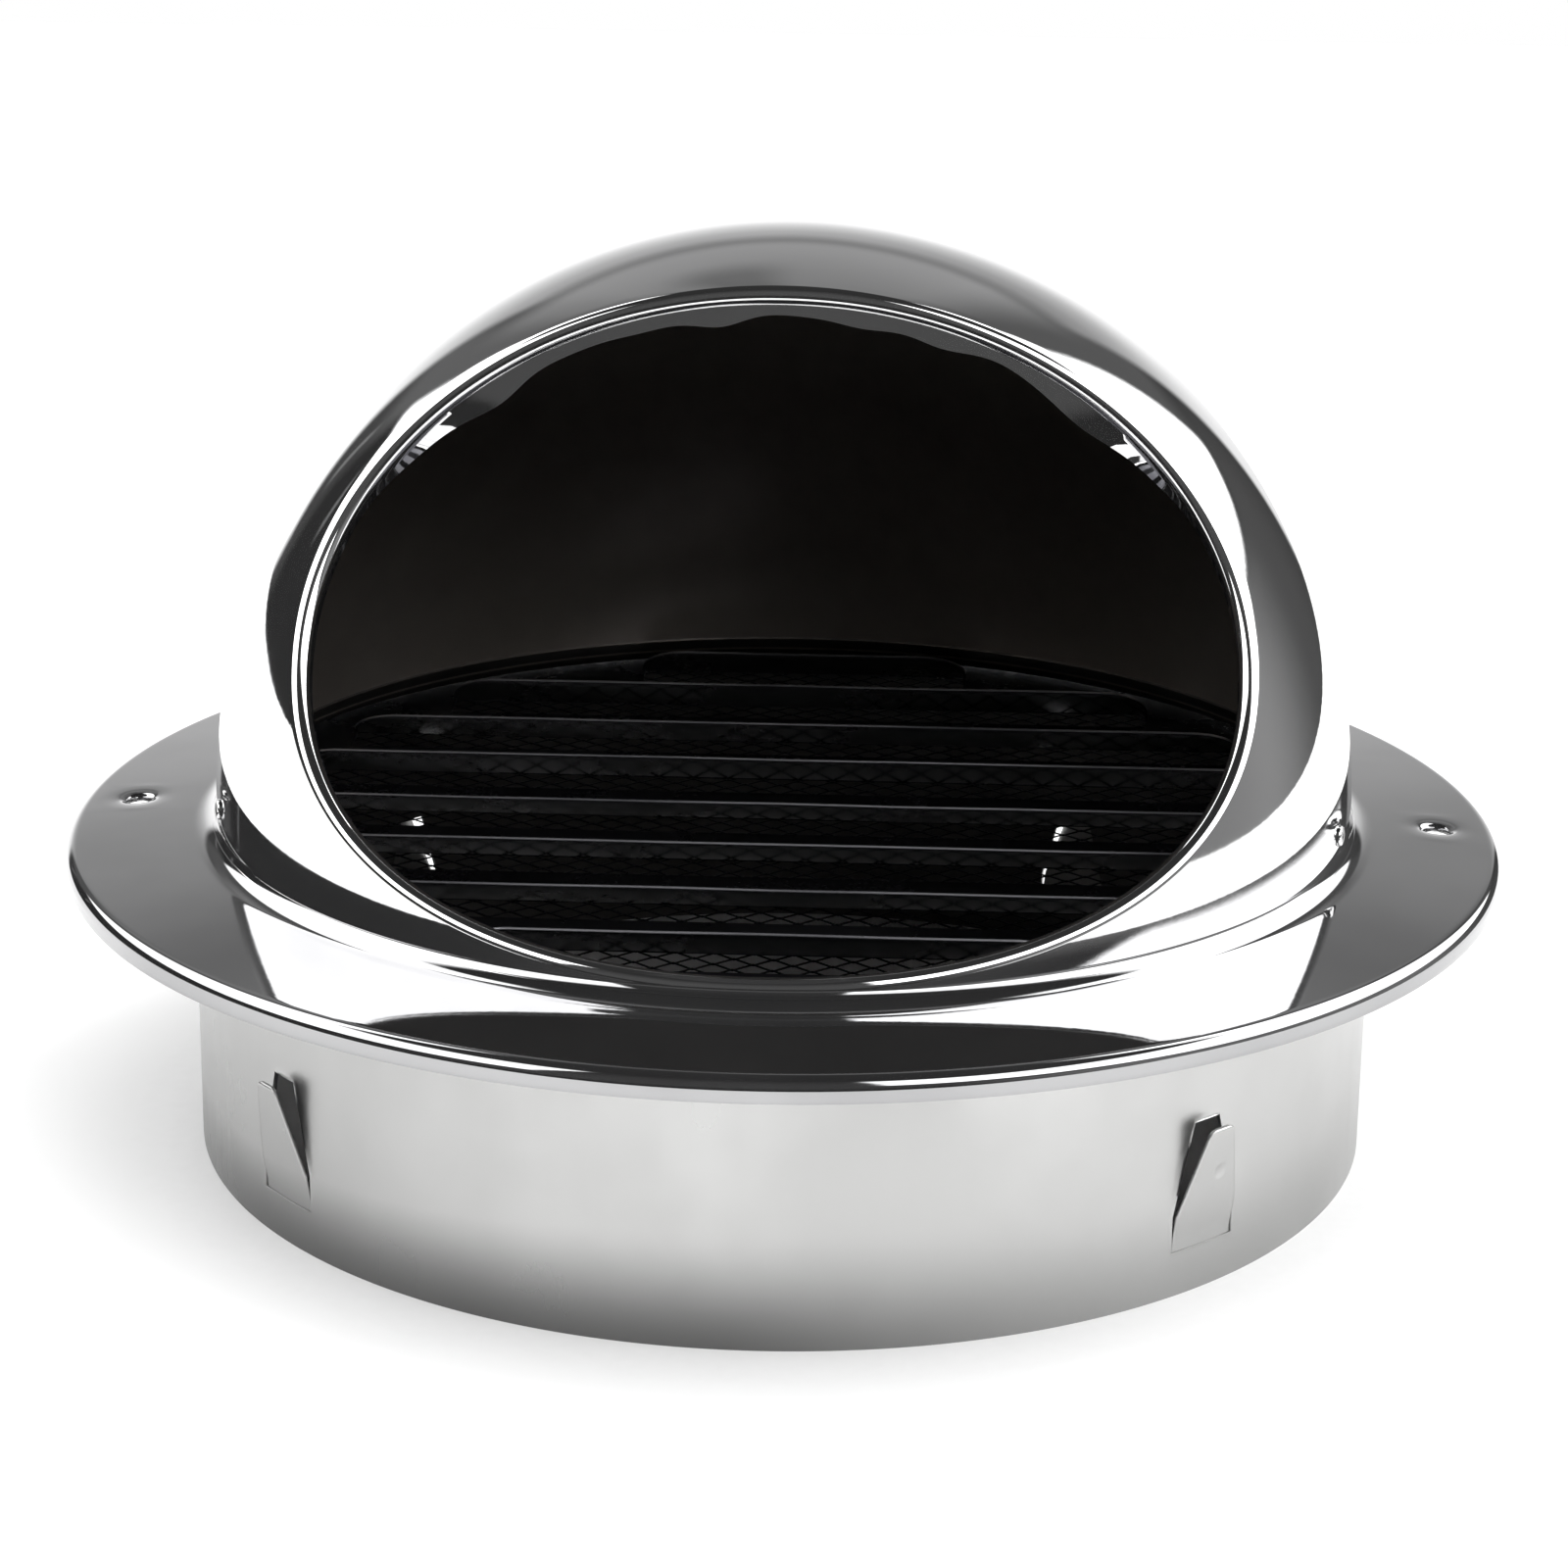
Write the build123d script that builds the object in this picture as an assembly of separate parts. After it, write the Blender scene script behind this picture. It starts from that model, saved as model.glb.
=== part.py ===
"""Round stainless cowl vent for a 200 mm duct.

Pressed and polished sheet-metal vent: a half-ball hood with a slanting mouth
stands on a round mounting flange, and a short sleeve behind the flange goes
into the duct. A stamped louvre plate and an expanded-metal screen are clamped
between flange and sleeve. Four lanced spring tabs grip the duct wall.

Frame, in millimetres: +Z is outward from the wall, Z = 0 is the sleeve's free
edge, the Z axis is the sleeve's axis, and the mouth looks towards -Y and up.
"""
from build123d import *
from math import asin, atan2, copysign, cos, degrees, pi, radians, sin, sqrt
import os

# ---------------------------------------------------------------- sheets
SHEET = 0.8                # hood and flange sheet
THIN_SHEET = 0.6           # sleeve, tabs and louvre plate sheet

# ---------------------------------------------------------------- sleeve
SLEEVE_R = 99.0            # outer radius, slides into a 200 mm duct
SLEEVE_BEND_R = 1.0        # outer bend between wall and lip
LIP_R = 104.4              # outer radius of the sleeve's out-turned lip

# ---------------------------------------------------------------- flange
FLANGE_R = 120.0
FLANGE_TOP = 52.8
RIM_DROP = 4.6             # how far the rim is rolled down
RIM_BEND_R = 2.2
NECK_TOP = 57.5            # upper edge of the neck inside the hood
SCREW_HOLE_R = 2.25
SCREW_PCD_R = 110.0        # screw holes left and right, on this radius
DIMPLE_R = 5.5             # pressed dimple round each screw hole
DIMPLE_DEPTH = 0.8
DIMPLE_BLANK = 3.2         # height of the disc taken out for a dimple

# ---------------------------------------------------------------- hood
HOOD_R = 95.0              # outer radius of the ball
HOOD_CENTRE = 58.0         # height of the ball's centre
HOOD_EDGE = 55.0           # lower edge of the flared skirt
MOUTH_TILT = 34.5          # degrees the mouth's axis points above level
MOUTH_HALF_WIDTH = 72.3
MOUTH_HALF_HEIGHT = 54.0
MOUTH_OFFSET = 1.0         # mouth centre above the ball's centre line
MOUTH_EXPONENT = 2.11      # 2 is an ellipse, more is squarer
MOUTH_POINTS = 32
LIP_DEPTH = 3.6            # how far the mouth's edge is turned inwards
MOUTH_CUT_START = 38.0     # the mouth's column starts this far from the ball's centre

# ---------------------------------------------------------------- rivets
RIVET_AZIMUTHS = {"front_left": -73.0, "front_right": 73.0,
                  "rear_left": -107.0, "rear_right": 107.0}
RIVET_HEIGHT = 60.0
RIVET_SHANK_R = 1.2
RIVET_HEAD_R = 1.7
RIVET_HEAD_HEIGHT = 0.7
RIVET_DOME_R = 0.56        # rounding of a rivet head
RIVET_PIT_R = 0.55
LUG_WIDTH = 9.0            # neck lug that each rivet goes through
LUG_TOP = 64.0
RIVET_SEAT_GAP = 0.02      # a flat head on a round wall touches only its rim

# ---------------------------------------------------------------- louvres
LOUVRE_COUNT = 8
LOUVRE_PITCH = 22.4
LOUVRE_SHIFT = 4.0         # the row of louvre lips sits this far back
LOUVRE_RISE = 5.6          # lip height above the plate
LOUVRE_RUN = 7.5           # lip to root, measured along the plate
LOUVRE_SLOT_FRONT = 2.4    # the slot starts this far in front of the lip
LOUVRE_FIELD_R = 88.0      # all louvres end on this circle
SLOT_CUT = 2.4             # height of the bar that cuts a slot

# ---------------------------------------------------------------- screen
SCREEN_R = 101.0
SCREEN_THICK = 0.6
CELL_LONG = 6.1            # long way of the diamond cells, along X
CELL_SHORT = 4.8           # short way, along Y
STRAND_WIDTH = 0.7

# ---------------------------------------------------------------- tabs
TAB_AZIMUTHS = {"front_left": -49.4, "front_right": 43.8,
                "rear_left": -132.5, "rear_right": 148.0}
TAB_ROOT_Z = 7.5
TAB_LENGTH = 20.5
TAB_ROOT_WIDTH = 13.0
TAB_TOP_WIDTH = 5.0
TAB_STRAIGHT = 6.0         # straight-sided stretch above the root
TAB_LEAN = 11.0            # degrees the free end stands out of the sleeve
TAB_GAP = 0.5              # play between a tab and its window

# ---------------------------------------------------------------- welds
WELD_COUNT = 8
WELD_CIRCLE_R = 102.4
WELD_R = 1.2

# ---------------------------------------------------------------- stack
FLANGE_UNDERSIDE = FLANGE_TOP - SHEET
PLATE_TOP = FLANGE_UNDERSIDE
PLATE_UNDERSIDE = PLATE_TOP - THIN_SHEET
SCREEN_UNDERSIDE = PLATE_UNDERSIDE - SCREEN_THICK
LIP_UNDERSIDE = SCREEN_UNDERSIDE - THIN_SHEET
SLEEVE_INNER_R = SLEEVE_R - THIN_SHEET
HOOD_INNER_R = HOOD_R - SHEET
FILLET_R = HOOD_CENTRE - FLANGE_TOP       # hollow fillet from flange to neck
FILLET_X = HOOD_INNER_R + FILLET_R        # radius at which that fillet is centred
MARGIN = 20.0                             # overshoot of cutting tools


def spin(*edges):
    """Solid of revolution about Z from a closed outline of (radius, height)."""
    outline = Plane.XZ * make_face(list(edges))
    return revolve(outline, axis=Axis.Z)


def arc(centre, radius, start, end):
    """Arc from one angle to another, in degrees."""
    return CenterArc(centre, radius, start, end - start)


def point_on(centre, radius, angle):
    """Point of a circle at an angle in degrees."""
    return (centre[0] + radius * cos(radians(angle)), centre[1] + radius * sin(radians(angle)))


def bearing(azimuth):
    """Plane on the Z axis whose local X points outward at an azimuth from the front."""
    return Plane.XY * Rot(0, 0, azimuth - 90)


def around(count, radius, first=0.0):
    """Points evenly spaced on a circle."""
    angles = [radians(first + 360.0 * i / count) for i in range(count)]
    return [(radius * cos(a), radius * sin(a)) for a in angles]


# ---------------------------------------------------------------- mouth
def mouth_plane():
    """Plane through the ball's centre, looking out of the mouth."""
    tilt = radians(MOUTH_TILT)
    return Plane(origin=(0, 0, HOOD_CENTRE), x_dir=(1, 0, 0), z_dir=(0, -cos(tilt), sin(tilt)))


def mouth_column(inset):
    """Column with the mouth's outline, from inside the ball to well outside it."""
    points = []
    for i in range(MOUTH_POINTS):
        t = 2 * pi * i / MOUTH_POINTS
        power = 2 / MOUTH_EXPONENT
        x = (MOUTH_HALF_WIDTH - inset) * copysign(abs(cos(t)) ** power, cos(t))
        v = (MOUTH_HALF_HEIGHT - inset) * copysign(abs(sin(t)) ** power, sin(t))
        points.append((x, v + MOUTH_OFFSET))
    outline = make_face(Spline(points, periodic=True))
    start = mouth_plane().offset(MOUTH_CUT_START)
    return extrude(start * outline, amount=HOOD_R)


# ---------------------------------------------------------------- parts
def rivet_axis_plane(azimuth):
    """Plane at the ball's centre whose normal runs along a rivet."""
    turn = radians(azimuth)
    rise = asin((RIVET_HEIGHT - HOOD_CENTRE) / HOOD_R)
    normal = (cos(rise) * sin(turn), -cos(rise) * cos(turn), sin(rise))
    return Plane(origin=(0, 0, HOOD_CENTRE), z_dir=normal)


def rivet_hole(azimuth):
    """Drill along a rivet's axis."""
    drill = Pos(0, 0, HOOD_R) * Cylinder(RIVET_SHANK_R, MARGIN)
    return rivet_axis_plane(azimuth) * drill


def hood():
    """Half-ball cowl with a flared skirt and an in-turned mouth edge."""
    centre = (0, HOOD_CENTRE)
    flare = (FILLET_X, HOOD_CENTRE)
    drop = HOOD_CENTRE - HOOD_EDGE
    outer_flare = FILLET_R - SHEET
    outer_end = 180 + degrees(asin(drop / outer_flare))
    inner_end = 180 + degrees(asin(drop / FILLET_R))
    shell = spin(
        arc(centre, HOOD_R, 90, 0),
        arc(flare, outer_flare, 180, outer_end),
        Line(point_on(flare, outer_flare, outer_end), point_on(flare, FILLET_R, inner_end)),
        arc(flare, FILLET_R, inner_end, 180),
        arc(centre, HOOD_INNER_R, 0, 90),
        Line((0, HOOD_CENTRE + HOOD_INNER_R), (0, HOOD_CENTRE + HOOD_R)),
    )
    shell = shell - mouth_column(0)
    ball = Pos(0, 0, HOOD_CENTRE) * Sphere(HOOD_R)
    core = Pos(0, 0, HOOD_CENTRE) * Sphere(HOOD_R - LIP_DEPTH)
    lip = (mouth_column(0) - mouth_column(SHEET)) & (ball - core)
    body = shell + lip
    for azimuth in RIVET_AZIMUTHS.values():
        body = body - rivet_hole(azimuth)
    return body


def lug(azimuth):
    """Tongue on the neck that backs the hood skirt at a rivet."""
    height = LUG_TOP - NECK_TOP + SHEET
    middle = LUG_TOP - height / 2
    block = Pos(HOOD_INNER_R, 0, middle) * Box(MARGIN, LUG_WIDTH, height)
    shell = Pos(0, 0, HOOD_CENTRE) * (Sphere(HOOD_INNER_R) - Sphere(HOOD_INNER_R - SHEET))
    return shell & (bearing(azimuth) * block)


def dimple(side):
    """Shallow cone pressed round a screw hole; side is -1 or 1."""
    cone = spin(
        Polyline(
            (SCREW_HOLE_R, FLANGE_TOP - DIMPLE_DEPTH),
            (DIMPLE_R, FLANGE_TOP),
            (DIMPLE_R, FLANGE_UNDERSIDE),
            (SCREW_HOLE_R, FLANGE_UNDERSIDE - DIMPLE_DEPTH),
            close=True,
        )
    )
    return Pos(side * SCREW_PCD_R, 0, 0) * cone


def flange_collar():
    """Mounting flange with a rolled-down rim and a neck that carries the hood."""
    rim = (FLANGE_R - RIM_BEND_R, FLANGE_TOP - RIM_BEND_R)
    rim_foot = FLANGE_TOP - RIM_DROP
    inner_rim_r = RIM_BEND_R - SHEET
    fillet = (FILLET_X, HOOD_CENTRE)
    under_r = FILLET_R + SHEET
    drop = HOOD_CENTRE - NECK_TOP
    outer_start = 180 + degrees(asin(drop / FILLET_R))
    inner_start = 180 + degrees(asin(drop / under_r))
    ring = spin(
        arc(fillet, FILLET_R, outer_start, 270),
        Line((FILLET_X, FLANGE_TOP), (rim[0], FLANGE_TOP)),
        arc(rim, RIM_BEND_R, 90, 0),
        Line((FLANGE_R, rim[1]), (FLANGE_R, rim_foot)),
        Line((FLANGE_R, rim_foot), (FLANGE_R - SHEET, rim_foot)),
        Line((FLANGE_R - SHEET, rim_foot), (FLANGE_R - SHEET, rim[1])),
        arc(rim, inner_rim_r, 0, 90),
        Line((rim[0], FLANGE_UNDERSIDE), (FILLET_X, FLANGE_UNDERSIDE)),
        arc(fillet, under_r, 270, inner_start),
        Line(point_on(fillet, under_r, inner_start), point_on(fillet, FILLET_R, outer_start)),
    )
    for side in (-1, 1):
        ring = ring - Pos(side * SCREW_PCD_R, 0, FLANGE_TOP) * Cylinder(DIMPLE_R, DIMPLE_BLANK)
        ring = ring + dimple(side)
    for azimuth in RIVET_AZIMUTHS.values():
        ring = ring + lug(azimuth)
        ring = ring - rivet_hole(azimuth)
    return ring - mouth_column(0)


def tab_outline(grow):
    """Flat outline of a tab, or of its window when grown by the play."""
    half_root = TAB_ROOT_WIDTH / 2 + grow
    half_top = TAB_TOP_WIDTH / 2 + grow
    return Polyline(
        (-half_root, -grow),
        (half_root, -grow),
        (half_root, TAB_STRAIGHT),
        (half_top, TAB_LENGTH + grow),
        (-half_top, TAB_LENGTH + grow),
        (-half_root, TAB_STRAIGHT),
        close=True,
    )


def tab_column(azimuth, grow):
    """Outline pushed radially through the sleeve wall at an azimuth."""
    turn = radians(azimuth)
    outward = (sin(turn), -cos(turn), 0)
    face = Plane(origin=(0, 0, TAB_ROOT_Z), x_dir=(cos(turn), sin(turn), 0), z_dir=outward)
    flat = face.offset(SLEEVE_R - MARGIN / 2) * make_face(tab_outline(grow))
    return extrude(flat, amount=MARGIN)


def duct_spigot():
    """Sleeve with an out-turned lip and a window behind each tab."""
    bend = (SLEEVE_R + SLEEVE_BEND_R, LIP_UNDERSIDE - SLEEVE_BEND_R)
    sleeve = spin(
        Line((SLEEVE_INNER_R, 0), (SLEEVE_R, 0)),
        Line((SLEEVE_R, 0), (SLEEVE_R, bend[1])),
        arc(bend, SLEEVE_BEND_R, 180, 90),
        Line((bend[0], LIP_UNDERSIDE), (LIP_R, LIP_UNDERSIDE)),
        Line((LIP_R, LIP_UNDERSIDE), (LIP_R, SCREEN_UNDERSIDE)),
        Line((LIP_R, SCREEN_UNDERSIDE), (bend[0], SCREEN_UNDERSIDE)),
        arc(bend, SLEEVE_BEND_R + THIN_SHEET, 90, 180),
        Line((SLEEVE_INNER_R, bend[1]), (SLEEVE_INNER_R, 0)),
    )
    for azimuth in TAB_AZIMUTHS.values():
        sleeve = sleeve - tab_column(azimuth, TAB_GAP)
    return sleeve - welds()


def spring_tab(azimuth):
    """Tongue of the sleeve wall, leaning out about its root."""
    height = TAB_ROOT_Z + TAB_LENGTH + MARGIN
    wall = Cylinder(SLEEVE_R, height) - Cylinder(SLEEVE_INNER_R, height)
    tongue = tab_column(azimuth, 0) & (Pos(0, 0, height / 2) * wall)
    turn = radians(azimuth)
    root = Axis((SLEEVE_R * sin(turn), -SLEEVE_R * cos(turn), TAB_ROOT_Z), (cos(turn), sin(turn), 0))
    return tongue.rotate(root, TAB_LEAN)


def louvre_profile(lip_y):
    """Side view of a blade that rises from its rear root to a free lip in front."""
    root_y = lip_y + LOUVRE_RUN
    return Polyline(
        (lip_y, PLATE_TOP + LOUVRE_RISE),
        (root_y, PLATE_TOP),
        (root_y, PLATE_UNDERSIDE),
        (lip_y, PLATE_TOP + LOUVRE_RISE - THIN_SHEET),
        close=True,
    )


def cheek_profile(lip_y):
    """Side view of the closed end between a blade and the plate."""
    return Polyline(
        (lip_y, PLATE_TOP + LOUVRE_RISE),
        (lip_y + LOUVRE_RUN, PLATE_TOP),
        (lip_y + LOUVRE_RUN, PLATE_UNDERSIDE),
        (lip_y - LOUVRE_SLOT_FRONT, PLATE_UNDERSIDE),
        (lip_y - LOUVRE_SLOT_FRONT, PLATE_TOP),
        close=True,
    )


def plate_slice(profile, low_x, high_x):
    """Side view stretched between two places along the louvre."""
    return extrude(Plane.YZ.offset(low_x) * make_face(profile), amount=high_x - low_x)


def louvre_plate():
    """Stamped disc with a row of rain louvres open to the front."""
    plate = Pos(0, 0, PLATE_UNDERSIDE) * extrude(Circle(LIP_R), amount=THIN_SHEET)
    for i in range(LOUVRE_COUNT):
        lip_y = LOUVRE_SHIFT + LOUVRE_PITCH * ((LOUVRE_COUNT - 1) / 2 - i)
        half = sqrt(LOUVRE_FIELD_R ** 2 - lip_y ** 2)
        slot_depth = LOUVRE_SLOT_FRONT + LOUVRE_RUN
        slot = Box(2 * (half - THIN_SHEET), slot_depth, SLOT_CUT)
        plate = plate - Pos(0, lip_y - LOUVRE_SLOT_FRONT + slot_depth / 2, PLATE_TOP) * slot
        plate = plate + plate_slice(louvre_profile(lip_y), -half, half)
        plate = plate + plate_slice(cheek_profile(lip_y), half - THIN_SHEET, half)
        plate = plate + plate_slice(cheek_profile(lip_y), -half, THIN_SHEET - half)
    return plate - welds()


def mesh_screen():
    """Diamond screen: two layers of slanting flat strands that lie on each other."""
    layer = SCREEN_THICK / 2
    slant = degrees(atan2(CELL_SHORT, CELL_LONG))
    spacing = CELL_LONG * sin(radians(slant))
    steps = int(SCREEN_R / spacing)
    disc = extrude(Circle(SCREEN_R), amount=layer)
    strands = []
    for level, angle in ((0, slant), (1, -slant)):
        for i in range(-steps, steps + 1):
            reach = sqrt(SCREEN_R ** 2 - (i * spacing) ** 2)
            strip = Pos(0, i * spacing, layer / 2) * Box(2 * reach + MARGIN, STRAND_WIDTH, layer)
            strand = strip & disc
            strands.append(Pos(0, 0, SCREEN_UNDERSIDE + level * layer) * Rot(0, 0, angle) * strand)
    return Compound(children=strands)


def hood_rivet(azimuth):
    """Small domed rivet with a pit in its head."""
    outside = HOOD_R
    inside = HOOD_INNER_R - SHEET - RIVET_SEAT_GAP
    shank_length = outside - inside
    shank = Pos(0, 0, inside + shank_length / 2) * Cylinder(RIVET_SHANK_R, shank_length)
    head = Pos(0, 0, outside + RIVET_HEAD_HEIGHT / 2) * Cylinder(RIVET_HEAD_R, RIVET_HEAD_HEIGHT)
    head = fillet(head.edges().group_by(Axis.Z)[-1], RIVET_DOME_R)
    pit = Pos(0, 0, outside + RIVET_HEAD_HEIGHT) * Cylinder(RIVET_PIT_R, RIVET_HEAD_HEIGHT)
    tail = Pos(0, 0, inside - RIVET_HEAD_HEIGHT / 2) * Cylinder(RIVET_HEAD_R, RIVET_HEAD_HEIGHT)
    return rivet_axis_plane(azimuth) * (shank + head - pit + tail)


def welds():
    """Weld nuggets through lip and plate, up to the flange's underside."""
    height = FLANGE_UNDERSIDE - LIP_UNDERSIDE
    nuggets = []
    for x, y in around(WELD_COUNT, WELD_CIRCLE_R, 180 / WELD_COUNT):
        nuggets.append(Pos(x, y, LIP_UNDERSIDE + height / 2) * Cylinder(WELD_R, height))
    return Compound(children=nuggets)


def main():
    """Write one STEP file for each sub-part."""
    os.makedirs("parts", exist_ok=True)
    nodes = {
        "hood": hood(),
        "flange_collar": flange_collar(),
        "duct_spigot": duct_spigot(),
        "louvre_plate": louvre_plate(),
        "mesh_screen": mesh_screen(),
        "spigot_welds": welds(),
    }
    for side, azimuth in RIVET_AZIMUTHS.items():
        nodes[f"hood_rivet_{side}"] = hood_rivet(azimuth)
    for side, azimuth in TAB_AZIMUTHS.items():
        nodes[f"spring_tab_{side}"] = spring_tab(azimuth)
    for name, solid in nodes.items():
        export_step(solid, f"parts/{name}.step")


main()
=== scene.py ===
"""Looks of the stainless cowl vent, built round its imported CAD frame.

Lengths are in metres and angles in degrees unless a name says otherwise. The
frame is the CAD's: Z is the sleeve's axis and the mouth looks to -Y and up.
"""
from math import acos, asin, atan2, cos, degrees, exp, hypot, pi, radians, sin, sqrt, tan

import bmesh
import bpy
from mathutils import Matrix, Vector


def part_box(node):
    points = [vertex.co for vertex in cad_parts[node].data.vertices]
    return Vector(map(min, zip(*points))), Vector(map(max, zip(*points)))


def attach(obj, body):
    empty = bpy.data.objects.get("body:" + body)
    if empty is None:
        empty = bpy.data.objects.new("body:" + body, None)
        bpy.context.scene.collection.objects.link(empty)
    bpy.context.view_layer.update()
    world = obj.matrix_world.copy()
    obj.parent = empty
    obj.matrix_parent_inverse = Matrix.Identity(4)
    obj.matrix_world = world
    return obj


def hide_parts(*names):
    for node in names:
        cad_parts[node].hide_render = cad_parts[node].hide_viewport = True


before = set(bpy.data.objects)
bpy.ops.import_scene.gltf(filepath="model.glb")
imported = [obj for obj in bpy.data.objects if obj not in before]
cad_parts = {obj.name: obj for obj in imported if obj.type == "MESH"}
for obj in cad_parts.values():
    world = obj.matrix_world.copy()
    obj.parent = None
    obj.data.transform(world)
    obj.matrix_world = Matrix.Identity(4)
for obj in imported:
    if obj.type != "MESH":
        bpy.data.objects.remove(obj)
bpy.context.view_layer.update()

# ---------------------------------------------------------------- dimensions
SHEET = 0.0008                       # hood and flange sheet
THIN_SHEET = 0.0006                  # sleeve, tabs and louvre plate sheet

HOOD_R = 0.095
HOOD_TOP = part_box("hood")[1].z
HOOD_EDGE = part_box("hood")[0].z
HOOD_CENTRE = HOOD_TOP - HOOD_R
MOUTH_TILT = 34.5
MOUTH_HALF_WIDTH = 0.0722
MOUTH_HALF_HEIGHT = 0.0540
MOUTH_OFFSET = 0.0010
MOUTH_EXPONENT = 2.11
LIP_TUCK_PLAY = 0.9                  # how much the lip's lean changes along its top
LIP_BEND_R = 0.0017
LIP_WALL = 0.0022
LIP_WALL_TOP = 0.0006
LIP_TUCK = 3.60                      # how far the lip leans in at the top, as a share of its depth
LIP_HEM = 0.00012                    # unevenness of the lip's edge at the top

FLANGE_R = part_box("flange_collar")[1].x
RIM_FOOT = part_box("flange_collar")[0].z
FLANGE_TOP = 0.0528
FLANGE_UNDERSIDE = FLANGE_TOP - SHEET
RIM_BEND_R = 0.0022
NECK_R = HOOD_R - SHEET
NECK_TOP = 0.0575
SCREW_HOLE_R = 0.00225
SCREW_PCD_R = 0.110
DIMPLE_R = 0.0055
DIMPLE_DEPTH = 0.0008

SLEEVE_R = 0.099
SLEEVE_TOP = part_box("duct_spigot")[1].z
LIP_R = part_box("duct_spigot")[1].x
SLEEVE_BEND_R = 0.0010
TAB_ROOT_Z = 0.0075
TAB_LENGTH = 0.0205
TAB_STRAIGHT = 0.0060
TAB_HALF_ROOT = 0.0065
TAB_HALF_TOP = 0.0025
TAB_LEAN = 11.0
TAB_SLIT = 0.00002

SCREEN_R = 0.101
SCREEN_Z = (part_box("mesh_screen")[0].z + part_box("mesh_screen")[1].z) / 2
CELL_LONG = 0.0061
CELL_SHORT = 0.0048
STRAND_WIDTH = 0.00048
STRAND_THICK = 0.00024


# ---------------------------------------------------------------- mesh tools
SHARP_ANGLE = 50.0


def piece(name, points, faces, materials, body, stands_for):
    """Smooth mesh object that rides on a body and stands for CAD nodes."""
    mesh = bpy.data.meshes.new(name)
    mesh.from_pydata(points, [], faces)
    mesh.validate()
    for material in materials:
        mesh.materials.append(material)
    level = bmesh.new()
    level.from_mesh(mesh)
    bmesh.ops.recalc_face_normals(level, faces=level.faces)
    level.to_mesh(mesh)
    level.free()
    mesh.shade_smooth()
    mesh.set_sharp_from_angle(angle=radians(SHARP_ANGLE))
    obj = bpy.data.objects.new(name, mesh)
    bpy.context.scene.collection.objects.link(obj)
    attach(obj, body)
    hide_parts(*stands_for)
    return obj


def loop_faces(columns, rows, skip=()):
    """Quads of a closed tube of columns, each a closed loop of rows; skip holds (column, row)."""
    faces = []
    for i in range(columns):
        for j in range(rows):
            if (i, j) in skip:
                continue
            a = i * rows
            b = (i + 1) % columns * rows
            k = (j + 1) % rows
            faces.append((a + j, b + j, b + k, a + k))
    return faces


def add_ring(points, ring):
    """Append a ring of points and give back its vertex numbers."""
    first = len(points)
    points += ring
    return list(range(first, len(points)))


def bridge(faces, ring_a, ring_b):
    """Quads between two closed rings of vertex numbers."""
    count = len(ring_a)
    for i in range(count):
        k = (i + 1) % count
        faces.append((ring_a[i], ring_a[k], ring_b[k], ring_b[i]))


def frame_of_cells(first_column, last_column, first_row, last_row):
    """Grid corners (column, row) once round a block of cells."""
    ring = [(c, first_row) for c in range(first_column, last_column)]
    ring += [(last_column, r) for r in range(first_row, last_row)]
    ring += [(c, last_row) for c in range(last_column, first_column, -1)]
    ring += [(first_column, r) for r in range(last_row, first_row, -1)]
    return ring


def outline_hits(outline, centre, targets):
    """Where the rays from a centre to the targets cross an outline, with its corners kept."""
    hits = []
    for target in targets:
        way = Vector(target) - centre
        best = None
        for i, start in enumerate(outline):
            edge = outline[(i + 1) % len(outline)] - start
            across = way.x * edge.y - way.y * edge.x
            if abs(across) < 1e-12:
                continue
            gap = start - centre
            along = (gap.x * edge.y - gap.y * edge.x) / across
            share = (gap.x * way.y - gap.y * way.x) / across
            if along > 0 and -1e-6 <= share <= 1 + 1e-6 and (best is None or along < best):
                best = along
        hits.append(centre + way * best)
    for corner in outline:
        nearest = min(range(len(hits)), key=lambda i: (hits[i] - corner).length)
        hits[nearest] = corner.copy()
    return hits


def arc_points(centre, radius, start, end, steps):
    """Points along an arc in the plane of radius and height."""
    turns = [radians(start + (end - start) * i / steps) for i in range(steps + 1)]
    return [(centre[0] + radius * cos(t), centre[1] + radius * sin(t)) for t in turns]


def line_points(start, end, steps):
    """Points along a line, without its last point."""
    return [
        (start[0] + (end[0] - start[0]) * i / steps, start[1] + (end[1] - start[1]) * i / steps)
        for i in range(steps)
    ]


def ripple(x, y, z, size):
    """Slow unevenness of pressed sheet, between about -1 and 1."""
    a = sin(x / size + 1.3) * cos(y / size * 1.17 - 0.4)
    b = sin((x + y) / size * 0.61 + 2.1) * cos(z / size * 0.83 + 0.7)
    return 0.5 * (a + b)


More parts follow.
